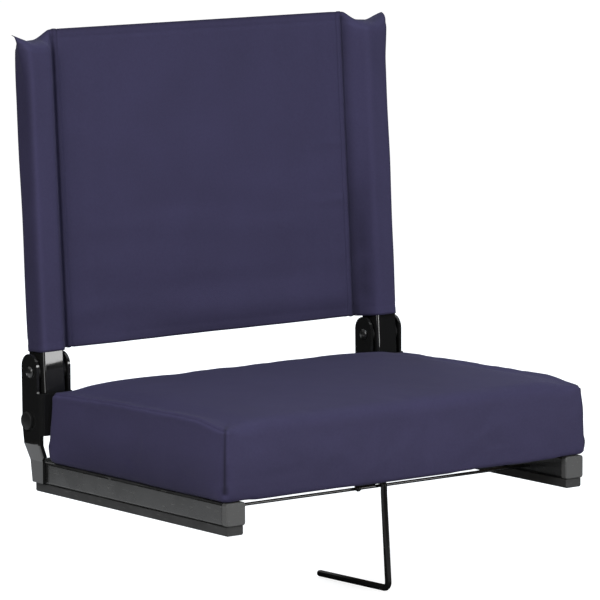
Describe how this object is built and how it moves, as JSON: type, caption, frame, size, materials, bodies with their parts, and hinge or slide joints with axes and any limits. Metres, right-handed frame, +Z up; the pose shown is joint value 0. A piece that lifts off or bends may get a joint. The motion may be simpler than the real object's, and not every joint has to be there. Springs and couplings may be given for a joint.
{
  "type": "folding bleacher seat",
  "caption": "Padded seat on square tube rails with a fold-down sleeved fabric back and a swinging bent-rod hook that catches under a bleacher plank.",
  "frame": {"origin": "on the bench surface under the foot strips, centred between the rails and half way along them", "axes": "+Z up from the bench, +X to the picture's right along the rivets' axis, -Y the way the sitter faces"},
  "size_m": [0.4588, 0.3418, 0.5356],
  "materials": {
    "rail_powder_coat": "matte dark grey powder coat",
    "cap_plastic": "moulded dark grey",
    "foot_rubber": "matte black",
    "black_enamel": "gloss black",
    "rivet_steel": "blackened steel",
    "washer_nylon": "black nylon",
    "plug_plastic": "satin black",
    "screw_zinc": "zinc plated",
    "navy_fabric": "navy woven polyester",
    "plywood": "raw plywood",
    "foam": "open cell foam",
    "hook_coating": "gloss black dipped coating"
  },
  "bodies": {
    "base": {"left_rail": "rail_powder_coat", "left_front_cap": "cap_plastic", "left_rear_cap": "cap_plastic", "left_foot_strip": "foot_rubber", "left_hinge_bracket": "black_enamel", "left_pivot_rivet": "rivet_steel", "left_outer_washer": "washer_nylon", "left_inner_washer": "washer_nylon", "left_front_screw": "screw_zinc", "left_middle_screw": "screw_zinc", "left_rear_screw": "screw_zinc", "left_tube_plug": "plug_plastic", "right_rail": "rail_powder_coat", "right_front_cap": "cap_plastic", "right_rear_cap": "cap_plastic", "right_foot_strip": "foot_rubber", "right_hinge_bracket": "black_enamel", "right_pivot_rivet": "rivet_steel", "right_outer_washer": "washer_nylon", "right_inner_washer": "washer_nylon", "right_front_screw": "screw_zinc", "right_middle_screw": "screw_zinc", "right_rear_screw": "screw_zinc", "right_tube_plug": "plug_plastic", "rear_cross_tube": "black_enamel", "seat_cover": "navy_fabric", "seat_board": "plywood", "seat_foam": "foam", "front_cross_rod": "black_enamel"},
    "backrest": {"back_cover": "navy_fabric", "left_back_post": "black_enamel", "left_post_top_plug": "plug_plastic", "left_post_tail_plug": "plug_plastic", "right_back_post": "black_enamel", "right_post_top_plug": "plug_plastic", "right_post_tail_plug": "plug_plastic"},
    "hook": {"bleacher_hook": "hook_coating"}
  },
  "joints": [
    {"name": "back_fold", "type": "hinge", "parent": "base", "child": "backrest", "pos_m": [0, 0.148, 0.1185], "axis": [1, 0, 0], "range_deg": [0, 93]},
    {"name": "hook_swing", "type": "hinge", "parent": "base", "child": "hook", "pos_m": [0, -0.09285, 0.0142], "axis": [1, 0, 0], "range_deg": [-90, 45]}
  ]
}
